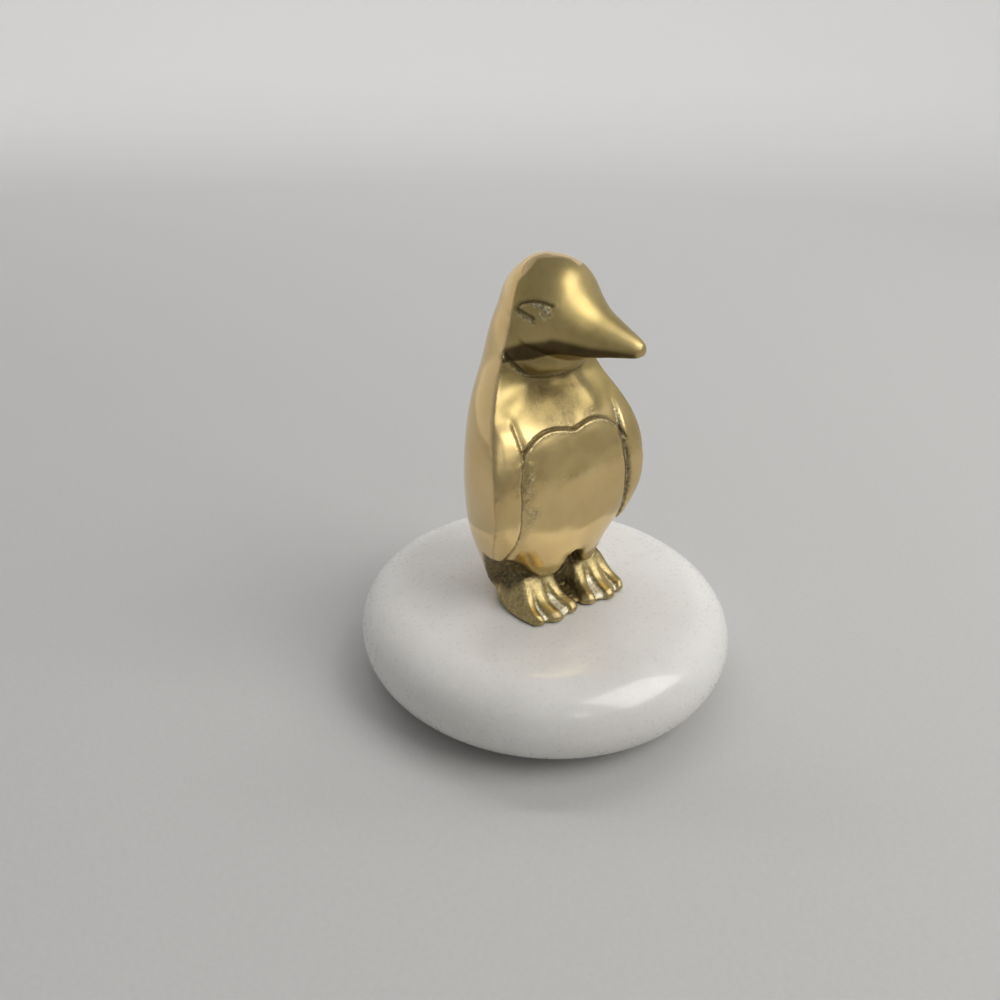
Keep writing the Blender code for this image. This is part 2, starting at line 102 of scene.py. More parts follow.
# The face by reach: top, underside and width, as shares
FACE_ROWS = ((-0.4, 0.62, 0.3, 0.42), (-0.3, 0.81, 0.16, 0.64), (-0.12, 0.98, 0.03, 0.89),
             (0.04, 1, 0, 0.96), (0.2, 0.975, 0, 0.93), (0.33, 0.88, 0.01, 0.84),
             (0.45, 0.69, 0.035, 0.7), (0.56, 0.56, 0.06, 0.57), (0.7, 0.46, 0.09, 0.43),
             (0.83, 0.38, 0.11, 0.31), (0.94, 0.31, 0.125, 0.21), (0.985, 0.27, 0.15, 0.13))


def smooth_curve(rows, at, column=1):
    """Values of a smooth curve through the rows' points, at one place or many."""
    at = np.asarray(at, float)
    x = np.array([row[0] for row in rows], float)
    y = np.array([row[column] for row in rows], float)
    i = np.clip(np.searchsorted(x, at, side="right") - 1, 0, len(x) - 2)
    low, high = np.maximum(i - 1, 0), np.minimum(i + 2, len(x) - 1)
    span = x[i + 1] - x[i]
    t = np.clip((at - x[i]) / span, 0, 1)
    slope_in = (y[i + 1] - y[low]) / (x[i + 1] - x[low]) * span
    slope_out = (y[high] - y[i]) / (x[high] - x[i]) * span
    return (
        (2 * t**3 - 3 * t**2 + 1) * y[i]
        + (t**3 - 2 * t**2 + t) * slope_in
        + (3 * t**2 - 2 * t**3) * y[i + 1]
        + (t**3 - t**2) * slope_out
    )


def smooth_step(start, end, at):
    t = np.clip((np.asarray(at, float) - start) / (end - start), 0, 1)
    return t * t * (3 - 2 * t)


def signed_power(value, power):
    return np.sign(value) * np.abs(value) ** power


def bell(value, width, power=2):
    """1 where the value is 0, falling off on both sides within about its width."""
    return np.exp(-((value / width) ** power))


def full_turn(steps):
    return np.linspace(0, 2 * math.pi, steps, endpoint=False)


def new_object(name, mesh):
    item = bpy.data.objects.new(name, mesh)
    bpy.context.scene.collection.objects.link(item)
    return item


def turned_outward(mesh, weld=False):
    """The closed mesh with its faces pointing out. Welding first makes points that coincide one."""
    shape = bmesh.new()
    shape.from_mesh(mesh)
    if weld:
        bmesh.ops.remove_doubles(shape, verts=shape.verts, dist=1e-7)
        bmesh.ops.dissolve_degenerate(shape, dist=1e-8, edges=shape.edges)
    bmesh.ops.recalc_face_normals(shape, faces=shape.faces)
    shape.to_mesh(mesh)
    shape.free()
    return mesh


def grid_mesh(name, rings, start=None, end=None, loop=False):
    """Closed mesh through rings of points, an array of ring, point and three numbers.

    Each end closes on a point or, without one, flat across. In a loop the last ring joins the first instead.
    """
    rings = np.asarray(rings, float)
    rows, count = rings.shape[:2]
    points = [tuple(p) for p in rings.reshape(-1, 3)]
    faces = []
    for r in range(rows if loop else rows - 1):
        low, high = r * count, (r + 1) % rows * count
        for k in range(count):
            n = (k + 1) % count
            faces.append((low + k, low + n, high + n, high + k))
    for row, point in () if loop else ((0, start), (rows - 1, end)):
        first = row * count
        if point is None:
            for k in range(count // 2 - 1):
                faces.append((first + k, first + k + 1, first + count - 2 - k, first + count - 1 - k))
            continue
        points.append(tuple(point))
        for k in range(count):
            faces.append((len(points) - 1, first + k, first + (k + 1) % count))
    mesh = bpy.data.meshes.new(name)
    mesh.from_pydata(points, [], faces)
    return turned_outward(mesh)


def body_side(level, count):
    """One side of the section at a level, from the breast's middle to the back's, as sideways and forward."""
    half = smooth_curve(HALF_WIDTH, level) * BODY_WIDTH / 2
    edge = smooth_curve(EDGE_FORWARD, level) * FRONT_DEPTH
    back = smooth_curve(BACK_REACH_SHARE, level) * BACK_DEPTH
    breast = smooth_curve(BREAST_FORWARD, level) * FRONT_DEPTH
    across = np.linspace(0, 1, count // 2) * half
    front = np.stack([across, breast + (edge - breast) * (across / half) ** FRONT_SQUARENESS], 1)
    angle = np.linspace(0, math.pi / 2, count - count // 2 + 1)[1:]
    behind = np.stack([
        half * signed_power(np.cos(angle), 2 / HOOD_SQUARENESS),
        edge - (edge + back) * np.sin(angle) ** (2 / HOOD_SQUARENESS),
    ], 1)
    return np.concatenate([front, behind])


def body_mesh(ring_count=190, side_count=90):
    rings = []
    for level in np.linspace(0, HALF_WIDTH[-1][0], ring_count):
        side = body_side(level, side_count)
        height = FIGURE_FOOT + level * (FIGURE_HEIGHT - HOOD_DROP)
        left = np.stack([side[:, 0], -side[:, 1], np.full(len(side), height)], 1)
        right = left[1:-1][::-1] * [-1, 1, 1]
        rings.append(np.concatenate([left, right]))
    bottom = (0, 0, FIGURE_FOOT)
    crown = (0, HEAD_SETBACK, FIGURE_FOOT + FIGURE_HEIGHT - HOOD_DROP)
    return grid_mesh("body", rings, bottom, crown)


def head_points(reach, aside, height):
    """Points from the head's own frame: reach along the beak, aside to its left, height over the foot."""
    reach, aside, height = np.broadcast_arrays(reach, aside, height)
    c, s = math.cos(HEAD_TURN), math.sin(HEAD_TURN)
    return np.stack([aside * c + reach * s, HEAD_SETBACK + aside * s - reach * c, FIGURE_FOOT + height], -1)


def head_frame(points):
    """Reach, aside and height of points, in the head's own frame."""
    c, s = math.cos(HEAD_TURN), math.sin(HEAD_TURN)
    x, y = points[:, 0], points[:, 1] - HEAD_SETBACK
    return x * s - y * c, x * c + y * s, points[:, 2] - FIGURE_FOOT


def face_mesh(ring_count=110, steps=96):
    first, last = FACE_ROWS[0][0], FACE_ROWS[-1][0]
    span = FIGURE_HEIGHT - JAW_LEVEL
    angle = full_turn(steps)
    above = np.sin(angle) > 0
    power = np.where(above, 1, 2 / JAW_SQUARENESS)
    rings = []
    for reach in np.linspace(first, last, ring_count):
        top, under, width = (smooth_curve(FACE_ROWS, reach, column) for column in (1, 2, 3))
        top, under = JAW_LEVEL + top * span, JAW_LEVEL + under * span
        widest = under + JAW_SHARE * (top - under)
        aside = width * HEAD_WIDTH / 2 * signed_power(np.cos(angle), power)
        rise = np.where(above, top - widest, widest - under) * signed_power(np.sin(angle), power)
        rings.append(head_points(reach * BEAK_REACH, aside, widest + rise))
    inside = head_points(first * BEAK_REACH, 0, (JAW_LEVEL + FIGURE_HEIGHT) / 2)
    tip = head_points(BEAK_REACH, 0, BEAK_TIP_LEVEL)
    return grid_mesh("face", rings, inside, tip)


def mesh_of(name, shape):
    mesh = bpy.data.meshes.new(name)
    shape.to_mesh(mesh)
    shape.free()
    return mesh


def ellipsoid_mesh(name, radii, centre):
    shape = bmesh.new()
    place = Matrix.Translation(centre) @ Matrix.Diagonal((*radii, 1))
    bmesh.ops.create_uvsphere(shape, u_segments=64, v_segments=32, radius=1, matrix=place)
    return mesh_of(name, shape)


# Feet: each toe's place across the foot at its tip and at the ankle, as shares
TOES = ((0.13, 0.2), (0.58, 0.5), (0.94, 0.66))
TOE_HALF_WIDTH = 0.125
TOE_SHOULDER = 0.3
TOE_FAN = (0.44, 1)
FOOT_LENGTH = 20.5
FOOT_FORWARD = 14.5
FOOT_WIDTH = 15
FOOT_GAP = 1
FOOT_LEAST_HEIGHT = 0.5
HEEL_SPREAD = 2.8
INSTEP_HEIGHT = 9.5
OUTER_FALL = 0.86
INNER_FALL = 0.5
NOSE_DROP = 0.7
WEB_DROP = 1
WEB_NOTCH = 0.9
WEB_START = (0.55, 0.75)
TOE_ARC = 1.9
FOOT_OUTER = ((0, 0.58), (0.12, 0.75), (0.22, 0.89), (0.52, 1), (0.75, 0.99), (0.9, 0.95), (1, 0.91))
INSTEP = ((0, 0.8), (0.35, 1), (0.55, 0.82), (0.675, 0.52), (0.79, 0.33), (1, 0.22))


def toe_line(toe, along):
    """Place of a toe's crest across the foot, which fans out from the ankle to the tip."""
    tip, ankle = toe
    return ankle + (tip - ankle) * smooth_step(*TOE_FAN, along)


def toe_ridge(across, along):
    """Share of a toe's full height at a place on the foot's top: 1 on a crest, 0 in a web."""
    ridge = np.zeros(np.broadcast(across, along).shape)
    for toe in TOES:
        off = np.abs(across - toe_line(toe, along)) / TOE_HALF_WIDTH
        roof = 1 - TOE_SHOULDER * np.minimum(off, 1)
        ridge = np.maximum(ridge, roof * (1 - smooth_step(0.75, 1.2, off)))
    return np.maximum(ridge, smooth_step(0, 0.05, across - toe_line(TOES[-1], along)))


def web_share(across, along):
    return (1 - toe_ridge(across, along)) * smooth_step(*WEB_START, along)


def foot_top(across, along):
    """Height of the foot's top, in millimetres over the base."""
    outer = toe_line(TOES[-1], along)
    fall = np.clip((across - outer) / (1 - outer), 0, 1) ** 1.9
    inside = np.clip(1 - across / TOES[0][0], 0, 1) ** 1.5
    slope = INSTEP_HEIGHT * smooth_curve(INSTEP, along) * (1 - OUTER_FALL * fall) * (1 - INNER_FALL * inside)
    nose = smooth_step(0.92, 1, along) ** 2
    return np.maximum(slope - WEB_DROP * web_share(across, along) - NOSE_DROP * nose, FOOT_LEAST_HEIGHT)


def inner_edge(along):
    """Distance of a foot's inner edge from the middle."""
    return FOOT_GAP / 2 + (1 - along) * HEEL_SPREAD


def foot_mesh(side, rows=90, steps=150):
    along = np.linspace(0, 1, rows)[:, None]
    across = np.linspace(0, 1, steps)[None, :]
    inner = inner_edge(along)
    sideways = inner + across * (smooth_curve(FOOT_OUTER, along) * FOOT_WIDTH - inner)
    reach = FOOT_LENGTH - TOE_ARC * (2 * across - 1) ** 2 - WEB_NOTCH * web_share(across, along)
    forward = FOOT_FORWARD - FOOT_LENGTH + along * reach
    height = foot_top(across, along)
    rings = []
    for r in range(rows):
        top = np.stack([side * sideways[r], -forward[r], FIGURE_FOOT + height[r]], 1)
        sole = top[::-1].copy()
        sole[:, 2] = FIGURE_FOOT
        rings.append(np.concatenate([top, sole]))
    return grid_mesh("foot", rings)


def applied(item):
    """The object's mesh with its modifiers applied."""
    graph = bpy.context.evaluated_depsgraph_get()
    return bpy.data.meshes.new_from_object(item.evaluated_get(graph))


def voxel_skin(name, meshes, size):
    """One skin round overlapping closed meshes, from voxels of a size in millimetres."""
    shape = bmesh.new()
    for mesh in meshes:
        shape.from_mesh(mesh)
    item = new_object(name, mesh_of(name, shape))
    remesh = item.modifiers.new("Skin", "REMESH")
    remesh.mode = "VOXEL"
    remesh.voxel_size = size
    out = applied(item)
    bpy.data.objects.remove(item)
    return out


def rows_of(items, name, width, kind=np.float32):
    """One property of each of a mesh's items, as rows."""
    values = np.empty(len(items) * width, kind)
    items.foreach_get(name, values)
    return values.reshape(-1, width)


def points_of(mesh):
    return rows_of(mesh.vertices, "co", 3).astype(float)


def normals_of(mesh):
    return rows_of(mesh.vertices, "normal", 3).astype(float)


def put_points(mesh, points):
    mesh.vertices.foreach_set("co", points.astype(np.float32).ravel())
    mesh.update()


def edges_of(mesh):
    return rows_of(mesh.edges, "vertices", 2, np.int32)


def averaged(values, edges):
    """Mean of each point's neighbours."""
    count = len(values)
    total = np.zeros_like(values)
    for column in range(values.shape[1]):
        total[:, column] = np.bincount(edges[:, 0], values[edges[:, 1], column], count)
        total[:, column] += np.bincount(edges[:, 1], values[edges[:, 0], column], count)
    degree = np.bincount(edges.ravel(), minlength=count)
    return total / np.maximum(degree, 1)[:, None]


def smoothed(mesh, rounds):
    """The mesh's points, smoothed without shrinking much: a step in, and a slightly larger step out."""
    points, edges = points_of(mesh), edges_of(mesh)
    for _ in range(rounds):
        for step in (0.5, -0.53):
            points = points + step * (averaged(points, edges) - points)
    return points


def dense(rows, count=60):
    """Smooth path through a few places, in any number of columns."""
    rows = np.asarray(rows, float)
    length = np.concatenate([[0], np.cumsum(np.linalg.norm(np.diff(rows, axis=0), axis=1))])
    at = np.linspace(0, length[-1], count)
    columns = [smooth_curve(list(zip(length, rows[:, c])), at) for c in range(rows.shape[1])]
    return np.stack(columns, 1)


NOISE_WAVES = 14
NOISE_SPREAD = 3.7


def waves(points, wave):
    """Smooth waves of a rise, a scale in millimetres and a seed, the same each run."""
    rise, scale, seed = wave
    random = np.random.default_rng(seed)
    total = np.zeros(len(points))
    for _ in range(NOISE_WAVES):
        direction = random.normal(size=3)
        direction /= np.linalg.norm(direction)
        turns = points @ direction * (2 * math.pi / scale) * random.uniform(0.6, 1.5)
        total += np.sin(turns + random.uniform(0, 7))
    return rise * (total / NOISE_SPREAD)


def body_measures(points):
    """Level, half width, the flipper's inner edge and the distance before the hood's edge, by point."""
    level = (points[:, 2] - FIGURE_FOOT) / (FIGURE_HEIGHT - HOOD_DROP)
    half = smooth_curve(HALF_WIDTH, level) * BODY_WIDTH / 2
    past_edge = -points[:, 1] - smooth_curve(EDGE_FORWARD, level) * FRONT_DEPTH
    return level, half, smooth_curve(FLIPPER_INNER, level) * half, past_edge


# Height of the belly's lower rim by distance from the middle
RIM = ((0, 13.4), (1.6, 12.9), (2.6, 11.2), (3.8, 9), (5.5, 8), (7.5, 7.8), (9.5, 9.3), (12, 11.8),
       (15, 13.6), (20, 14.5))
FLIPPER_RISE = 0.9
FLIPPER_GROOVE = 0.6
FLIPPER_ROUNDING = 0.45
UNDERCUT = 1.7
LEG_ARCH = 3.6
HOLE_WALL = 1.4


def rim_height(aside):
    """Height of the belly's lower rim: a tongue over each foot, and an arch between the legs."""
    return smooth_curve(RIM, np.abs(aside))


def shape_body(mesh):
    """Raises the flippers, and draws the front in under the belly's rim and between the legs."""
    points, normals = points_of(mesh), normals_of(mesh)
    level, half, inner, past_edge = body_measures(points)
    aside = np.abs(points[:, 0])
    height = points[:, 2] - FIGURE_FOOT
    past_inner = aside - inner

    facing = smooth_step(0.1, 0.5, -normals[:, 1]) * smooth_step(-1.5, 0.5, past_edge)
    shoulder = np.where(points[:, 0] < 0, smooth_step(0.575, 0.61, level), smooth_step(0.5, 0.61, level))
    lift = smooth_step(-0.35, 0.25, past_inner)
    groove = FLIPPER_GROOVE * bell(past_inner + 0.7, 0.75)
    rounding = FLIPPER_ROUNDING * smooth_step(0.55, 1, past_inner / np.maximum(half - inner, 1)) ** 2
    raised = facing * smooth_step(0.15, 0.18, level) * (1 - shoulder) * (lift - groove - rounding * lift)
    points[:, 1] -= FLIPPER_RISE * raised

    below = smooth_step(0.5, -0.7, height - rim_height(points[:, 0])) * smooth_step(-4, 1, past_edge + 1)
    arch = bell(aside, 2.7, 4)
    drawn_in = points[:, 1] + below * (UNDERCUT + LEG_ARCH * arch)
    behind_stud = -(HOLE_RADIUS + HOLE_WALL)
    over_hole = (below * arch > 0.1) & (points[:, 1] < behind_stud)
    points[:, 1] = np.where(over_hole, np.minimum(drawn_in, behind_stud), drawn_in)
    put_points(mesh, points)


# Lines on the front, as sideways and height over the foot
HEART = ((0, 42.2), (1.6, 42.5), (3.4, 42.9), (6.5, 43.1), (9.6, 42.4), (12.5, 40.6), (14, 38.9),
         (14.9, 37.2))
NECK_FRONT = ((-11.9, 58.1), (-10.9, 56.8), (-9.5, 55.4), (-6.7, 54.1), (-3.4, 53.7), (-0.4, 54.2),
              (3.3, 55.3), (6, 56.3), (9, 57.6), (11, 58.6))
CHEST_RIDGE = ((-7.6, 56.2), (-7.2, 53.6), (-8.0, 51.2), (-10.2, 49), (-12.8, 47.4))
FAR_RIDGE = ((2.6, 56.5), (3.9, 53), (6, 49.5), (7.6, 46))
PLATE_CORNER = ((-13.6, 36.5), (-13.8, 31))
# Lines on the head's sides, as reach and height over the foot
BROW = ((-1.5, 67.6), (-0.8, 68.6), (0.3, 69.2), (2.6, 69.8), (4.7, 69.7), (6.4, 69.2))
EYE_SLIT = ((-1.2, 67.5), (-0.1, 67.4), (1.1, 67.1), (2.2, 66.8), (3, 66.4))
# Rims, marks and middle of the eye
BROW_RIM = ((2.6, 69.1), (4.2, 69.0), (5.4, 68.5), (6.1, 67.6))
LID_RIM = ((-0.8, 66.8), (0.7, 66.4), (2.3, 65.9), (3.3, 65.6))
INNER_MARK = ((4.3, 67.7), (4.8, 67.1), (5.2, 66.7))
EYE_CENTRE = (1.9, 68.2)
JAW_TOP = ((-4, 59.3), (-2, 60), (0, 60.8), (3, 61.7), (5.5, 62.4), (7.2, 63), (9.8, 62.6), (13.7, 61.8),
           (20.6, 61.4), (23, 61.1))
JAW_FOOT = ((-4, 56.4), (-1, 56.9), (2.7, 57.9), (4.7, 58.6), (7.5, 59.4), (10.3, 59.4), (13, 59.1),
            (17.6, 59.6), (23, 60))

# Chased lines: width, depth, share of light grain beside them, and lip
PLATE_LINE = (0.28, 0.6, 0.1, 0.1)
BROW_LINE = (0.3, 0.55, 0.1, 0.15)
EYE_LINE = (0.42, 0.5, 0.1, 0.05)
NECK_LINE = (0.38, 0.6, 0.3, 0.25)
# Light bands under a line: drop, width and share of light grain
PLATE_BAND = (0.75, 0.45, 0.38)
NECK_BAND = (0.75, 0.4, 0.5)
# Raised rims round the eye: path, width and share of light grain
EYE_RIMS = ((BROW_RIM, 0.5, 0.8), (LID_RIM, 0.42, 0.6), (INNER_MARK, 0.35, 0.8))
EYE_RIM_RISE = 0.14
EYE_RISE = 0.3
EYE_RADIUS = 1.7
EYE_STRETCH = (1, 1, 0.72)
# Crests on the chest: path, rise and spread
CHEST_CRESTS = ((CHEST_RIDGE, 0.5, 2.4), (FAR_RIDGE, 0.45, 2.2))
PLATE_RISE = 0.38
CUFF_RISE = 0.22
PLATE_REACH = 9
CORNER_REACH = 7
# Height over which a point is the head's
HEAD_FOOT = 57
# Waves in the surface and in its marks: rise, scale in millimetres and seed
PLATE_WAVE = (0.05, 8, 14)
CORNER_WAVE = (0.09, 2.6, 31)
HOLLOW_WAVE = (0.08, 1.3, 3)
SATIN_WAVES = ((0.035, 15, 5), (0.004, 5, 6))
GRAIN_WAVE = (0.05, 0.7, 8)
STRIP_WAVE = (0.045, 3.6, 42)
STRIP_PATCHES = (0.5, 4.5, 41)
CHEST_PATCHES = (0.3, 5, 51)
# Skins: size of the voxels, rounds of smoothing, and the extra pieces in them
UPPER_VOXEL = 0.45
UPPER_ROUNDS = 5
FINE_VOXEL = 0.32
FINE_ROUNDS = 3
THROAT_RADII = (10.2, 10.2, 6.2)
THROAT_IN_HEAD = (-0.8, 0, 57.8)
LEG_FILL_RADII = (4.2, 9.5, 1.7)
LEG_FILL_PLACE = (0, -1.6, FIGURE_FOOT + 0.2)
CROWN_FILL = 0.5
CROWN_ROUNDS = 60


def groove_profile(distance, width, depth, lip):
    """Depth of a chased line, with a slight lip thrown up beside it."""
    return lip * depth * bell(distance - 2.1 * width, width) - depth * bell(distance, width)


def blend_crown(mesh):
    """Fills the junction of the face's dome and the hood behind it, and smooths it away."""
    points, edges = points_of(mesh), edges_of(mesh)
    reach, _, height = head_frame(points)
    zone = smooth_step(0.5, -2.5, reach) * smooth_step(62, 66, height)
    filled = CROWN_FILL * bell(reach + 3.6, 2.2) * smooth_step(70, 75, height)
    points += normals_of(mesh) * filled[:, None]
    for _ in range(CROWN_ROUNDS):
        points += 0.5 * zone[:, None] * (averaged(points, edges) - points)
    put_points(mesh, points)


def figure_skin():
    """One fine skin round body, face, throat and feet, and its points in full precision."""
    throat = ellipsoid_mesh("throat", THROAT_RADII, head_points(*THROAT_IN_HEAD))
    upper = voxel_skin("upper", [body_mesh(), face_mesh(), throat], UPPER_VOXEL)
    shape_body(upper)
    blend_crown(upper)
    put_points(upper, smoothed(upper, UPPER_ROUNDS))
    leg_fill = ellipsoid_mesh("leg_fill", LEG_FILL_RADII, LEG_FILL_PLACE)
    mesh = voxel_skin("skin", [upper, foot_mesh(1), foot_mesh(-1), leg_fill], FINE_VOXEL)
    points = smoothed(mesh, FINE_ROUNDS)
    points[:, 2] = np.maximum(points[:, 2], FIGURE_FOOT - 0.2)
    put_points(mesh, points)
    return mesh, points


class Skin:
    """The figure's skin: measures of its points, and what is carved and coloured there."""

    def __init__(self, mesh, points):
        self.mesh, self.points, self.normals = mesh, points, normals_of(mesh)
        faces = [tuple(face.vertices) for face in mesh.polygons]
        self.tree = BVHTree.FromPolygons([tuple(p) for p in points], faces)
        self.level, self.half, self.inner, self.past_edge = body_measures(points)
        self.height = points[:, 2] - FIGURE_FOOT
        self.forward = -points[:, 1]
        self.left = points[:, 0]
        self.sideways = np.abs(self.left)
        self.reach, self.aside, _ = head_frame(points)
        self.front, self.up = -self.normals[:, 1], self.normals[:, 2]
        self.facing = smooth_step(0.05, 0.4, self.front)
        self.move, self.line, self.grain = np.zeros((3, len(points)))

    def hits(self, rays):
        """Places where rays, each a start and a direction, meet the skin."""
        found = [self.tree.ray_cast(Vector(start), Vector(way).normalized())[0] for start, way in rays]
        return np.array([place for place in found if place is not None])

    def on_front(self, path):
        """Path of sideways and height, laid on the front."""
        return self.hits(((s, -60, FIGURE_FOOT + h), (0, 1, 0)) for s, h in path)

    def on_head_side(self, path, side):
        """Path of reach and height, laid on one side of the head."""
        ends = [(head_points(u, side * 40, h), head_points(u, 0, h)) for u, h in path]
        return self.hits((start, middle - start) for start, middle in ends)

    def near(self, path, reach=4):
        """Distance of each point from a path through a list of places, out to a reach."""
        points, path = self.points, np.asarray(path, float)
        distance = np.full(len(points), 1e3)
        near = np.where(((points > path.min(0) - reach) & (points < path.max(0) + reach)).all(1))[0]
        chosen = points[near]
        found = np.full(len(near), 1e9)
        for a, b in zip(path, path[1:]):
            d = b - a
            t = np.clip((chosen - a) @ d / max(d @ d, 1e-9), 0, 1)
            found = np.minimum(found, np.linalg.norm(chosen - a - t[:, None] * d, axis=1))
        distance[near] = found
        return distance

    def darken(self, shares):
        self.line = np.maximum(self.line, shares)

    def lighten(self, shares):
        self.grain = np.maximum(self.grain, shares)

    def chase(self, path, width, depth, light, lip):
        """Cuts a dark line with a lip, and a light band beside it."""
        distance = self.near(path)
        self.move += groove_profile(distance, width, depth, lip)
        self.darken(bell(distance, 0.95 * width))
        self.lighten(light * bell(distance - 1.5 * width, 1.2 * width))

    def chase_front(self, path, line, band):
        """Chases a line on the front, and lightens a band a little below it."""
        self.chase(self.on_front(path), *line)
        drop, width, light = band
        self.lighten(light * bell(self.near(self.on_front(path - [0, drop])), width))


def carve_plate(skin):
    """Raises the breast plate and the crests over it, and cuts the plate's top. Returns the plate's share."""
    under_top = skin.height - smooth_curve(HEART, skin.sideways)
    plate = smooth_step(0.25, -0.25, under_top) * smooth_step(0.4, -0.4, skin.sideways - skin.inner + 0.5)
    plate *= smooth_step(14, 22, skin.height) * smooth_step(0.1, 0.4, skin.front)
    skin.move += plate * (PLATE_RISE + waves(skin.points, PLATE_WAVE))
    for path, rise, spread in CHEST_CRESTS:
        skin.move += rise * bell(skin.near(skin.on_front(dense(path)), PLATE_REACH), spread)
    corner = skin.near(skin.on_front(PLATE_CORNER), CORNER_REACH)
    skin.move += bell(corner, 2.6) * waves(skin.points, CORNER_WAVE)
    for side in (-1, 1):
        skin.chase_front(dense(HEART) * [side, 1], PLATE_LINE, PLATE_BAND)
    return plate


def carve_face(skin, side):
    """Cuts the brow and the eye's slit, and raises the eye and its rims, on one side of the head."""
    skin.chase(skin.on_head_side(dense(BROW), side), *BROW_LINE)
    skin.chase(skin.on_head_side(dense(EYE_SLIT), side), *EYE_LINE)
    for path, width, light in EYE_RIMS:
        rim = bell(skin.near(skin.on_head_side(dense(path, 30), side)), width)
        skin.move += EYE_RIM_RISE * rim
        skin.lighten(light * rim)
    for eye in skin.on_head_side([EYE_CENTRE], side):
        from_eye = np.linalg.norm((skin.points - eye) / EYE_STRETCH, axis=1)
        skin.move += EYE_RISE * bell(from_eye, EYE_RADIUS, 4)


def mark_flippers(skin):
    """Darkens and lightens the flippers' inner edges. Returns the share of the flippers' front."""
    flippers = smooth_step(0.13, 0.18, skin.level) * (1 - smooth_step(0.56, 0.6, skin.level)) * skin.facing
    off_edge = skin.sideways - skin.inner
    seam = bell(off_edge + 0.45, 0.55) * flippers * smooth_step(-1.5, 0, skin.past_edge)
    skin.lighten(np.where(skin.left > 0, 0.8, 0.4) * seam)
    skin.darken(0.8 * bell(off_edge + 0.25, 0.3) * flippers)
    return flippers


def roughen_below(skin):
    """Pits the metal under the belly's rim and between the legs, and swells the rim over each foot."""
    over_rim = skin.height - rim_height(skin.left)
    fade = 2.5 + 3.5 * smooth_step(2, 6, skin.forward)
    under_rim = smooth_step(0.6, -0.4, over_rim) * smooth_step(fade, fade + 2.5, skin.height)
    under_rim *= smooth_step(-3, 0, skin.past_edge + 2) * smooth_step(9.5, 7, skin.forward)
    hollow = bell(skin.left, 3.2, 4) * smooth_step(14.5, 12.5, skin.height)
    hollow *= smooth_step(-2, 2, skin.forward) * smooth_step(12.5, 10, skin.forward)
    rough = np.clip(under_rim + hollow, 0, 1)
    skin.move += smooth_step(0, 1, rough) * waves(skin.points, HOLLOW_WAVE)
    cuff = bell(over_rim - 0.35, 0.55) * smooth_step(0.1, 0.5, skin.front)
    skin.move += CUFF_RISE * cuff * smooth_step(12.5, 9, skin.sideways)
    return rough


def polished_part(skin, rough):
    """Share of mirror polish: all behind the hood's edge, which gets a fine line, and a cap on the crown."""
    on_head = skin.height > HEAD_FOOT
    behind_face = skin.reach + 2.6 - 1.9 * smooth_step(72, 75.5, skin.height)
    behind = np.where(on_head, behind_face, skin.past_edge)
    head_line = bell(behind, 0.2) * smooth_step(76.5, 74.5, skin.height)
    body_line = bell(behind, 0.24) * smooth_step(0.78, 0.9, skin.sideways / skin.half)
    body_line *= smooth_step(15, 19, skin.height)
    skin.darken(0.32 * np.where(on_head, head_line, body_line))
    cap = smooth_step(-0.3, 0.3, skin.aside + 3.2 - 0.48 * skin.reach) * smooth_step(75.4, 75.9, skin.height)
    return np.maximum(smooth_step(0.3, -0.2, behind) * (1 - rough), cap)


def mark_feet(skin):
    """Lightens the rough webs between the toes, and faintly the sides of the feet."""
    along = np.clip((skin.forward - FOOT_FORWARD + FOOT_LENGTH) / FOOT_LENGTH, 0, 1)
    inside = inner_edge(along)
    across = (skin.sideways - inside) / (smooth_curve(FOOT_OUTER, along) * FOOT_WIDTH - inside)
    first, last = TOES[0][0], TOES[-1][0]
    webs = smooth_step(0.45, 0.85, 1 - toe_ridge(across, along)) * smooth_step(0.57, 0.71, along)
    webs *= smooth_step(first, first + 0.06, across) * smooth_step(last, last - 0.06, across)
    webs *= smooth_step(0.2, 0.7, skin.up) * smooth_step(6, 4.5, skin.height)
    sides = smooth_step(10.5, 8, skin.height) * smooth_step(0.9, 0.6, skin.up)
    skin.lighten(np.maximum(webs, 0.24 * sides * smooth_step(-4, -2, skin.forward)))


def painted_jaw_shade(skin):
    """Share of painted shade under the beak, and faintly on the throat: a dark brown that stands in for shade
    and dark reflection there.
    """
    over_jaw = skin.height - smooth_curve(JAW_TOP, skin.reach)
    over_throat = skin.height - smooth_curve(JAW_FOOT, skin.reach)
    face = smooth_step(-3.4, -2.6, skin.reach)
    jaw = smooth_step(0.5, -0.9, over_jaw) * smooth_step(-0.35, 0.15, over_throat) * face
    jaw *= smooth_step(22.6, 21.8, skin.reach) * np.where(skin.aside > 0, smooth_step(-2.6, 2, skin.reach), 1)
    throat = smooth_step(-0.1, -0.6, over_throat) * smooth_step(54, 54.8, skin.height) * face
    throat *= smooth_step(13, 11, skin.reach) * (skin.front > -0.2)
    return np.maximum(0.95 * jaw, 0.22 * throat)


def roughen_strip(skin):
    """Roughens the strip of the plate beside its right flipper."""
    strip = smooth_step(16.4, 15.4, skin.sideways) * smooth_step(10.6, 12.4, skin.sideways) * (skin.left < 0)
    strip *= smooth_step(23, 26, skin.height) * smooth_step(39.5, 36.5, skin.height) * skin.facing
    skin.lighten(0.36 * strip * np.clip(0.5 + waves(skin.points, STRIP_PATCHES), 0, 1))
    skin.points += skin.normals * (strip * waves(skin.points, STRIP_WAVE))[:, None]


def painted_chest_shade(skin, plate):
    """Share of painted shade on the chest, between the neckline and the plate: the patina's dark colour, laid
    there to dim the chest's highlight.
    """
    chest = smooth_step(11.5, 6.5, np.abs(skin.points[:, 0] + 0.5)) * smooth_step(42, 43.2, skin.height)
    chest *= smooth_step(56, 53.5, skin.height) * np.clip(0.9 + waves(skin.points, CHEST_PATCHES), 0, 1)
    return chest * (1 - plate) * skin.facing * (skin.up < 0.9)


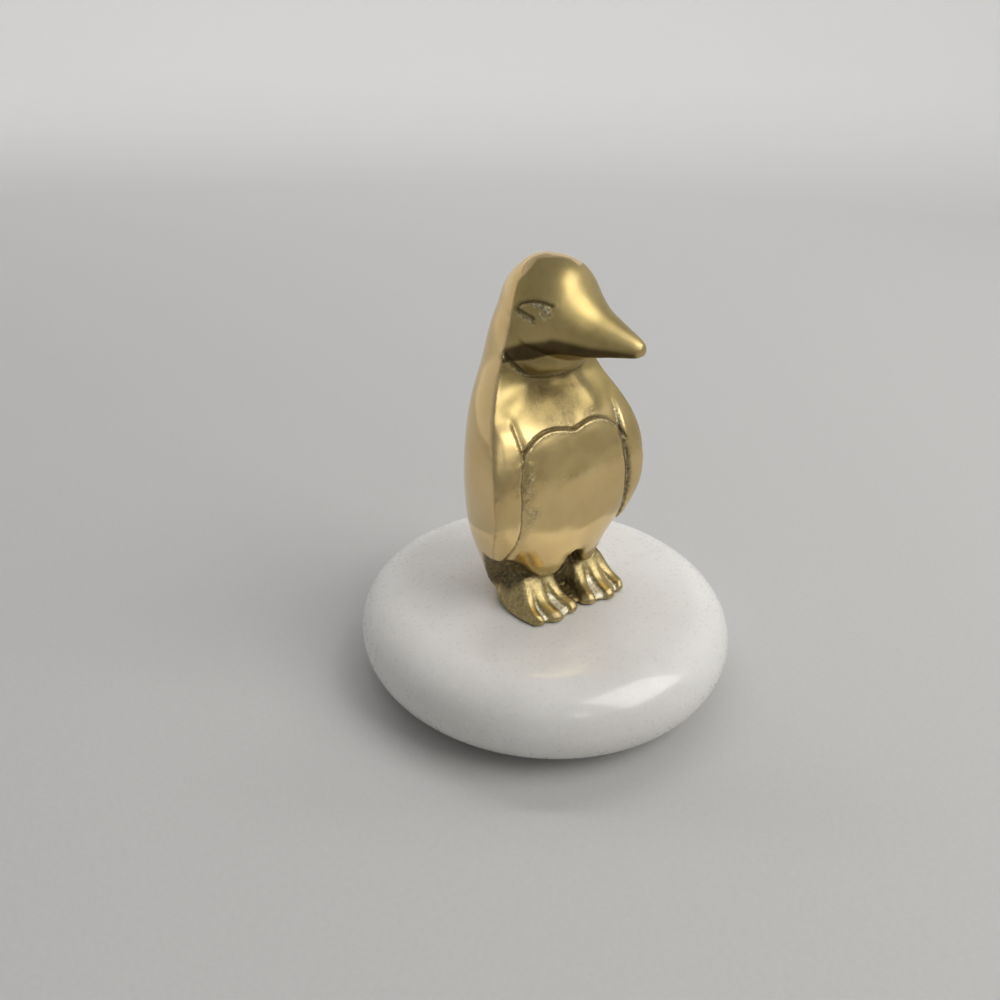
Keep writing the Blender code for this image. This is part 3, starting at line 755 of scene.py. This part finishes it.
def build_figure():
    """Carves the skin, and stores the shares that the brass material reads at each point."""
    skin = Skin(*figure_skin())
    plate = carve_plate(skin)
    for side in (-1, 1):
        carve_face(skin, side)
    skin.chase_front(dense(NECK_FRONT, 90), NECK_LINE, NECK_BAND)
    flippers = mark_flippers(skin)
    rough = roughen_below(skin)
    polish = polished_part(skin, rough)
    skin.move += (1 - polish) * sum(waves(skin.points, wave) for wave in SATIN_WAVES)
    skin.move += smooth_step(0.15, 0.7, skin.grain) * waves(skin.points, GRAIN_WAVE)
    skin.points = skin.points + skin.normals * skin.move[:, None]

    mark_feet(skin)
    roughen_strip(skin)
    gloss = smooth_step(37, 31, skin.height) * (1 - rough) * smooth_step(10, 12, skin.height) * skin.facing
    gloss = np.maximum(gloss, 0.5 * flippers)
    shares = {
        "polish": polish + 0.62 * gloss * (1 - skin.grain),
        # real patina in the pitted hollows and the chased lines, plus painted shade on the chest
        "patina_and_shade": 0.9 * rough + 0.95 * skin.line + 0.58 * painted_chest_shade(skin, plate),
        "grain": skin.grain,
        # painted shade under the beak and faintly on the throat
        "jaw_shade": painted_jaw_shade(skin),
    }
    for name, values in shares.items():
        attribute = skin.mesh.attributes.new(name, "FLOAT", "POINT")
        attribute.data.foreach_set("value", np.clip(values, 0, 1).astype(np.float32))
    skin.points[:, 2] = np.clip(skin.points[:, 2], FIGURE_FOOT, FIGURE_FOOT + FIGURE_HEIGHT)
    put_points(skin.mesh, skin.points * MM)
    skin.mesh.shade_smooth()
    return drill(new_object("brass_penguin", skin.mesh))


def drill(item):
    """Cuts the stud's hole into the figure's underside."""
    low, high = (FIGURE_FOOT - 2) * MM, (FIGURE_FOOT + TAPPED_DEPTH) * MM
    shape = bmesh.new()
    place = Matrix.Translation((0, 0, (low + high) / 2))
    radius = HOLE_RADIUS * MM
    bmesh.ops.create_cone(
        shape, cap_ends=True, segments=48, radius1=radius, radius2=radius, depth=high - low, matrix=place
    )
    cutter = new_object("drill", mesh_of("drill", shape))
    hole = item.modifiers.new("Hole", "BOOLEAN")
    hole.solver = "MANIFOLD"
    hole.object = cutter
    drilled = applied(item)
    item.modifiers.clear()
    item.data = drilled
    bpy.data.objects.remove(cutter)
    return item


def round_ring(radius, height, angles):
    """Points of a ring, with one radius or a radius for each angle."""
    return np.stack([radius * np.cos(angles), radius * np.sin(angles), np.full(len(angles), height)], 1)


def smooth_object(name, mesh, sharp_angle):
    """Object shaded smooth, apart from edges sharper than an angle in degrees."""
    mesh.shade_smooth()
    mesh.set_sharp_from_angle(angle=math.radians(sharp_angle))
    return new_object(name, mesh)


def lathe(name, profile, segments):
    """Closed ring or solid turned from a profile of radius and height, in millimetres."""
    rings = [round_ring(radius, height, full_turn(segments)) for radius, height in profile]
    mesh = turned_outward(grid_mesh(name, np.array(rings) * MM, loop=True), weld=True)
    return smooth_object(name, mesh, 40)


def arc(centre_r, centre_z, radius_r, radius_z, start, end, steps):
    angles = np.radians(np.linspace(start, end, steps))
    return [(centre_r + radius_r * math.cos(a), centre_z + radius_z * math.sin(a)) for a in angles]


# Small edges of the turned and machined pieces
BOLT_HOLE_CHAMFER = 0.3
COUNTERBORE_CHAMFER = 0.4
FELT_EDGE = 0.35
FELT_RIPPLE = (0.004, 3, 21)
THREAD_PITCH = 1.0
THREAD_DEPTH = 0.55
STUD_CHAMFER = 0.5
PUNCHED_ROUND = 0.25
FINE_CHAMFER = 0.1
WASHER_HOLE_CHAMFER = 0.2
NUT_CHAMFER = 0.5
NUT_CORNER_SLOPE = 1.7


def build_base():
    outer = BASE_DIAMETER / 2
    middle = BASE_UNDERSIDE + BASE_THICKNESS / 2
    roof = BASE_UNDERSIDE + COUNTERBORE_DEPTH
    bore = COUNTERBORE_DIAMETER / 2
    flat = outer - EDGE_REACH
    profile = [(HOLE_RADIUS, BASE_TOP - BOLT_HOLE_CHAMFER), (HOLE_RADIUS + BOLT_HOLE_CHAMFER, BASE_TOP)]
    profile += [(r, BASE_TOP) for r in np.linspace(HOLE_RADIUS + 2, flat - 0.5, 12)]
    profile += arc(flat, middle, EDGE_REACH, BASE_THICKNESS / 2, 90, -90, 61)
    profile += [(bore + COUNTERBORE_CHAMFER, BASE_UNDERSIDE), (bore, BASE_UNDERSIDE + COUNTERBORE_CHAMFER)]
    profile += [(bore, roof), (HOLE_RADIUS, roof)]
    return lathe("marble_disc", profile, 192)


def build_felt():
    radius = BASE_DIAMETER / 2 - EDGE_REACH - FELT_INSET
    profile = [(0, FELT_THICKNESS)] + [(r, FELT_THICKNESS) for r in np.linspace(4, radius - 0.4, 10)]
    profile += arc(radius - FELT_EDGE, FELT_THICKNESS / 2, FELT_EDGE, FELT_THICKNESS / 2, 90, -90, 9)
    profile += [(r, 0) for r in np.linspace(radius - 0.5, 4, 10)] + [(0, 0)]
    felt = lathe("felt_disc", profile, 160)
    points = points_of(felt.data)
    radial = np.hypot(points[:, 0], points[:, 1]) / MM
    ripple = 1 + smooth_step(radius - 1.5, radius, radial) * waves(points / MM, FELT_RIPPLE)
    points[:, :2] *= np.minimum(ripple, 1)[:, None]
    put_points(felt.data, points)
    return felt


def build_stud(segments=48):
    """Threaded rod whose thread climbs once a turn by its pitch."""
    heights = np.arange(STUD_FOOT, STUD_TOP + 0.05, THREAD_PITCH / 8)
    heights[-1] = STUD_TOP
    angles = full_turn(segments)
    rings = []
    for z in heights:
        phase = ((z - STUD_FOOT) / THREAD_PITCH - angles / (2 * math.pi)) % 1
        crest = np.clip(1.25 * (1 - 2 * np.abs(phase - 0.5)), 0, 1)
        limit = STUD_DIAMETER / 2 - max(0, STUD_CHAMFER - min(z - STUD_FOOT, STUD_TOP - z))
        rings.append(round_ring(np.minimum(STUD_DIAMETER / 2 - THREAD_DEPTH * (1 - crest), limit), z, angles))
    mesh = grid_mesh("steel_stud", np.array(rings) * MM, (0, 0, STUD_FOOT * MM), (0, 0, STUD_TOP * MM))
    return smooth_object("steel_stud", mesh, 50)


def build_washer():
    outer, hole = WASHER_DIAMETER / 2, HOLE_RADIUS
    top, bottom = WASHER_TOP, WASHER_TOP - WASHER_THICKNESS
    profile = arc(outer - PUNCHED_ROUND, top - PUNCHED_ROUND, PUNCHED_ROUND, PUNCHED_ROUND, 90, 0, 5)
    profile += arc(outer - FINE_CHAMFER, bottom + FINE_CHAMFER, FINE_CHAMFER, FINE_CHAMFER, 0, -90, 3)
    profile += [(hole + FINE_CHAMFER, bottom), (hole, bottom + FINE_CHAMFER)]
    profile += [(hole, top - WASHER_HOLE_CHAMFER), (hole + WASHER_HOLE_CHAMFER, top)]
    return lathe("steel_washer", profile, 96)


def build_nut():
    """Hexagon with its corners turned off at both faces, and a chamfered hole."""
    inscribed, bottom = NUT_FLATS / 2, NUT_TOP - NUT_THICKNESS
    angles = full_turn(96)
    flat = inscribed / np.cos((angles + math.pi / 6) % (math.pi / 3) - math.pi / 6)
    mouth, face = HOLE_RADIUS + NUT_CHAMFER, inscribed - FINE_CHAMFER
    rows = [(HOLE_RADIUS, bottom + NUT_CHAMFER), (mouth, bottom), (face, bottom)]
    for up in np.linspace(0, NUT_THICKNESS, 9):
        turned = inscribed + NUT_CORNER_SLOPE * min(up, NUT_THICKNESS - up)
        rows.append((np.minimum(flat, turned), bottom + up))
    rows += [(face, NUT_TOP), (mouth, NUT_TOP), (HOLE_RADIUS, NUT_TOP - NUT_CHAMFER)]
    rings = [round_ring(radius, height, angles) for radius, height in rows]
    return smooth_object("steel_nut", grid_mesh("steel_nut", np.array(rings) * MM, loop=True), 25)


class Nodes:
    """Short way to write the nodes of a material or a world."""

    def __init__(self, owner, shader="Principled BSDF"):
        owner.use_nodes = True
        self.owner, self.tree = owner, owner.node_tree
        self.shader = self.tree.nodes[shader]

    def add(self, kind, **settings):
        node = self.tree.nodes.new("ShaderNode" + kind)
        for key, value in settings.items():
            setattr(node, key, value)
        return node

    def feed(self, node, name, value):
        if hasattr(value, "links"):
            self.tree.links.new(value, node.inputs[name])
        else:
            node.inputs[name].default_value = value

    def fill(self, node, **values):
        """Feeds a node's inputs, with underscores for the spaces in their names. Returns its outputs."""
        for name, value in values.items():
            self.feed(node, name.replace("_", " "), value)
        return node.outputs

    def shade(self, **values):
        self.fill(self.shader, **values)

    def place(self, kind="Object"):
        return self.add("TexCoord").outputs[kind]

    def noise(self, scale, detail, roughness, stretch=None):
        where = self.place()
        if stretch:
            where = self.fill(self.add("Mapping"), Vector=where, Scale=stretch)["Vector"]
        node = self.add("TexNoise")
        return self.fill(node, Vector=where, Scale=scale, Detail=detail, Roughness=roughness)["Fac"]

    def span(self, value, low, high, out_low=0.0, out_high=1.0):
        node = self.add("MapRange", clamp=True)
        self.fill(node, Value=value, From_Min=low, From_Max=high)
        return self.fill(node, To_Min=out_low, To_Max=out_high)["Result"]

    def math(self, operation, a, b=0.0):
        node = self.add("Math", operation=operation)
        self.feed(node, 0, a)
        self.feed(node, 1, b)
        return node.outputs[0]

    def mix(self, factor, a, b):
        """Colours, as tuples or sockets."""
        node = self.add("Mix", data_type="RGBA")
        self.feed(node, 0, factor)
        for index, value in ((6, a), (7, b)):
            self.feed(node, index, value if hasattr(value, "links") else (*value, 1))
        return node.outputs[2]

    def blend(self, factor, a, b):
        """Numbers."""
        node = self.add("Mix", data_type="FLOAT")
        self.feed(node, 0, factor)
        self.feed(node, 2, a)
        self.feed(node, 3, b)
        return node.outputs[0]

    def mask(self, name):
        return self.add("Attribute", attribute_name=name).outputs["Fac"]

    def bump(self, height, distance, strength=1.0, before=None):
        node = self.add("Bump")
        if before:
            self.feed(node, "Normal", before)
        return self.fill(node, Strength=strength, Distance=distance, Height=height)["Normal"]


def brass_material():
    n = Nodes(bpy.data.materials.new("cast_brass"))
    polish, patina_and_shade, grain = n.mask("polish"), n.mask("patina_and_shade"), n.mask("grain")
    broad = n.noise(90, 4, 0.6)
    fine = n.noise(900, 5, 0.65)
    speck = n.noise(1500, 2, 0.55)
    satin = n.mix(n.span(broad, 0.35, 0.65), (0.40, 0.305, 0.12), (0.53, 0.41, 0.18))
    bright = n.mix(n.span(broad, 0.3, 0.7), (0.78, 0.56, 0.26), (0.85, 0.64, 0.33))
    colour = n.mix(polish, satin, bright)
    between = n.mix(n.span(grain, 0.6, 1.0), (0.16, 0.13, 0.07), (0.62, 0.57, 0.42))
    lightest = n.mix(n.span(grain, 0.6, 1.0), (0.68, 0.59, 0.35), (0.82, 0.77, 0.60))
    pale = n.mix(n.span(speck, 0.4, 0.6), between, lightest)
    colour = n.mix(n.span(grain, 0, 0.8), colour, pale)
    dark = n.mix(n.span(fine, 0.35, 0.65), (0.018, 0.012, 0.006), (0.11, 0.075, 0.03))
    # Patina darkens the colour in the hollows and lines; on the chest the same dark colour is painted shade.
    soiled_and_shaded = n.math("MULTIPLY", patina_and_shade, n.span(fine, 0.25, 0.6, 1.0, 0.72))
    colour = n.mix(soiled_and_shaded, colour, dark)
    # Painted shade: dark brown under the beak and faintly on the throat.
    jaw_shade = n.mask("jaw_shade")
    shade_brown = n.mix(n.span(broad, 0.35, 0.65), (0.045, 0.03, 0.014), (0.10, 0.068, 0.03))
    colour = n.mix(jaw_shade, colour, shade_brown)
    rough = n.blend(polish, n.span(broad, 0.3, 0.7, 0.35, 0.44), n.span(broad, 0.3, 0.7, 0.055, 0.1))
    rough = n.blend(grain, rough, 0.52)
    rough = n.blend(soiled_and_shaded, rough, 0.42)
    rough = n.math("ADD", rough, n.span(fine, 0.3, 0.7, -0.02, 0.04))
    metallic = n.blend(soiled_and_shaded, n.blend(grain, 1.0, 0.75), 0.6)
    scratches = n.noise(700, 4, 0.7, (1, 1, 0.06))
    normal = n.bump(scratches, 0.00004, 0.25)
    marked = n.math("ADD", n.math("MULTIPLY", grain, 0.8), n.math("MULTIPLY", patina_and_shade, 0.7))
    normal = n.bump(n.math("MULTIPLY", speck, marked), 0.0003, 0.7, normal)
    n.shade(Base_Color=colour, Roughness=rough, Metallic=metallic, Normal=normal)
    return n.owner


def marble_material():
    n = Nodes(bpy.data.materials.new("white_marble"))
    cloud = n.noise(28, 5, 0.6)
    crystal = n.fill(n.add("TexVoronoi"), Vector=n.place(), Scale=1500)
    fleck = n.noise(1100, 3, 0.6)
    vein = n.noise(16, 2, 0.5, (1, 1.8, 0.7))
    colour = n.mix(n.span(cloud, 0.35, 0.68), (0.77, 0.75, 0.715), (0.86, 0.845, 0.815))
    ridge = n.math("ABSOLUTE", n.math("SUBTRACT", vein, 0.5))
    colour = n.mix(n.span(ridge, 0.0, 0.03, 0.08, 0.0), colour, (0.50, 0.50, 0.49))
    colour = n.mix(n.span(fleck, 0.55, 0.75, 0.0, 0.45), colour, (0.92, 0.91, 0.885))
    colour = n.mix(n.span(fleck, 0.42, 0.27, 0.0, 0.03), colour, (0.60, 0.585, 0.555))
    n.shade(Base_Color=colour, Roughness=n.span(crystal["Color"], 0.0, 1.0, 0.26, 0.34))
    n.shade(Subsurface_Weight=0.25, Subsurface_Radius=(0.004, 0.0036, 0.003), Subsurface_Scale=0.5)
    n.shade(Coat_Weight=0.55, Coat_Roughness=0.07, Normal=n.bump(crystal["Distance"], 0.00001, 0.03))
    return n.owner


def felt_material():
    n = Nodes(bpy.data.materials.new("green_felt"))
    fibre = n.noise(2400, 6, 0.75)
    matted = n.noise(260, 4, 0.6)
    colour = n.mix(n.span(fibre, 0.3, 0.7), (0.008, 0.035, 0.02), (0.035, 0.10, 0.06))
    colour = n.mix(n.span(matted, 0.4, 0.7, 0, 0.4), colour, (0.02, 0.06, 0.045))
    n.shade(Base_Color=colour, Roughness=0.95, Normal=n.bump(fibre, 0.0004, 0.8))
    n.shade(Sheen_Weight=0.4, Sheen_Roughness=0.6)
    return n.owner


def steel_material():
    n = Nodes(bpy.data.materials.new("machined_steel"))
    turned = n.noise(500, 4, 0.6, (0.3, 0.3, 6))
    spots = n.noise(140, 4, 0.6)
    n.shade(Base_Color=n.mix(n.span(spots, 0.35, 0.7), (0.50, 0.50, 0.52), (0.66, 0.66, 0.65)), Metallic=1)
    n.shade(Roughness=n.span(turned, 0.3, 0.7, 0.25, 0.42), Normal=n.bump(turned, 0.00003, 0.4))
    return n.owner


def dress(item, material, node):
    item.data.materials.clear()
    item.data.materials.append(material)
    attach(item, "root")
    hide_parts(node)


# The view, in across, away and up as the camera sees the ground. FACING turns it to the object's own axes.
FACING = math.radians(38)
CAMERA_PLACE = (-0.01171, -0.17250, 0.13544)
CAMERA_RIGHT = (0.99956, 0.01399, 0.02616)
CAMERA_UP = (-0.02967, 0.47139, 0.88141)
CAMERA_LENS = 30.6
CAMERA_SENSOR = 36
# The sweep, in metres: a floor, a bend of one radius and a wall
FLOOR_RADIUS = 1.5
BEND_RADIUS = 0.6
WALL_TOP = 1.3
SWEEP_SIDES = 96
GLOW_START = 0.8
GLOW_END = 1.8
GLOW = 0.17
# The sky's strength, for light and as mirrored at the wall's top and overhead
SKY_LIGHT = 0.2
SKY_LOW = 0.46
SKY_HIGH = 0.36


def turn_to_frame(vector):
    """From across, away and up to the object's own axes."""
    return Matrix.Rotation(-FACING, 3, "Z") @ Vector(vector)


def make_camera():
    camera = bpy.data.cameras.new("camera")
    camera.sensor_width = CAMERA_SENSOR
    camera.lens = CAMERA_LENS
    camera.clip_start = 0.01
    item = new_object("camera", camera)
    right, up = turn_to_frame(CAMERA_RIGHT), turn_to_frame(CAMERA_UP)
    place = Matrix((right, up, right.cross(up))).transposed().to_4x4()
    place.translation = turn_to_frame(CAMERA_PLACE)
    item.matrix_world = place
    bpy.context.scene.camera = item


def sweep_material():
    """Pale floor. What the camera and the mirrored rays see glows a little, far from the object."""
    n = Nodes(bpy.data.materials.new("pale_sweep"))
    speck = n.noise(900, 2, 0.5)
    colour = n.mix(n.span(speck, 0.3, 0.7), (0.55, 0.545, 0.535), (0.57, 0.565, 0.555))
    rays = n.add("LightPath").outputs
    mirrored = n.math("MAXIMUM", rays["Is Glossy Ray"], rays["Is Transmission Ray"])
    seen = n.math("MAXIMUM", rays["Is Camera Ray"], mirrored)
    distance = n.add("VectorMath", operation="LENGTH")
    n.feed(distance, 0, n.place())
    far = n.span(distance.outputs["Value"], GLOW_START, GLOW_END)
    glow = n.math("MULTIPLY", n.math("MULTIPLY", seen, far), GLOW)
    n.shade(Base_Color=colour, Roughness=0.8, Emission_Color=(1, 0.99, 0.975, 1), Emission_Strength=glow)
    return n.owner


def make_stage():
    """Pale sweep: a round floor that curves up into a wall on every side, well away from the object."""
    rows = [(0.3, 0), (0.9, 0), (FLOOR_RADIUS, 0)]
    rows += arc(FLOOR_RADIUS, BEND_RADIUS, BEND_RADIUS, BEND_RADIUS, -90 + math.degrees(0.1), 0, 14)
    rows += [(FLOOR_RADIUS + BEND_RADIUS, WALL_TOP)]
    rings = [round_ring(radius, up, full_turn(SWEEP_SIDES)) for radius, up in rows]
    points = [(0, 0, 0)] + [tuple(point) for ring in rings for point in ring]
    faces = []
    for k in range(SWEEP_SIDES):
        n = (k + 1) % SWEEP_SIDES
        faces.append((0, 1 + k, 1 + n))
        for row in range(len(rows) - 1):
            low, high = 1 + row * SWEEP_SIDES, 1 + (row + 1) * SWEEP_SIDES
            faces.append((low + k, high + k, high + n, low + n))
    mesh = bpy.data.meshes.new("sweep")
    mesh.from_pydata(points, [], faces)
    mesh.shade_smooth()
    mesh.materials.append(sweep_material())
    sweep = new_object("sweep", mesh)


def add_light(name, place, size, power, aim=(0, 0, 0.05), colour=(1, 1, 1)):
    """Area lamp, placed in the view's axes and aimed in the object's."""
    light = bpy.data.lights.new(name, "AREA")
    light.shape = "RECTANGLE"
    light.size, light.size_y = size
    light.energy = power
    light.color = colour
    item = new_object(name, light)
    item.location = turn_to_frame(place)
    item.rotation_euler = (item.location - Vector(aim)).to_track_quat("Z", "Y").to_euler()
    item.visible_camera = False
    return item


def studio_world():
    """Dim even sky. The polished brass mirrors it in the wall's own tone, a little darker overhead."""
    n = Nodes(bpy.data.worlds.new("studio"), "Background")
    rays = n.add("LightPath").outputs
    seen = n.math("MAXIMUM", rays["Is Camera Ray"], rays["Is Glossy Ray"])
    direction = n.fill(n.add("SeparateXYZ"), Vector=n.place("Generated"))
    mirrored = n.span(direction["Z"], 0.5, 1.0, SKY_LOW, SKY_HIGH)
    n.shade(Color=(0.9, 0.92, 0.95, 1), Strength=n.blend(seen, SKY_LIGHT, mirrored))
    return n.owner


def make_lights():
    add_light("key", (0.58, -0.22, 0.68), (0.62, 0.62), 4.4, colour=(1, 0.985, 0.96))
    add_light("window", (0.3, -0.75, 0.55), (0.14, 0.2), 0.25, colour=(1, 0.98, 0.95))
    add_light("wall", (-1.15, 0.8, 0.6), (1.5, 1.3), 0.4, colour=(1, 0.98, 0.95))
    backdrop = add_light("backdrop", (0, 0.8, 1.5), (2.2, 0.4), 18, aim=turn_to_frame((0, 1.7, 0.2)))
    ceiling = add_light("ceiling", (-0.6, 1.0, 1.7), (3.0, 3.2), 6.5, aim=turn_to_frame((-0.6, 1.0, 0)))
    backdrop.visible_glossy = ceiling.visible_glossy = False
    bpy.context.scene.world = studio_world()
    bpy.context.scene.view_settings.view_transform = "Standard"


def main():
    dress(build_figure(), brass_material(), "penguin_casting")
    dress(build_base(), marble_material(), "marble_base")
    felt = build_felt()
    dress(felt, felt_material(), "felt_pad")
    steel = steel_material()
    dress(build_stud(), steel, "threaded_stud")
    dress(build_washer(), steel, "washer")
    dress(build_nut(), steel, "hex_nut")
    make_stage()
    make_camera()
    make_lights()


main()
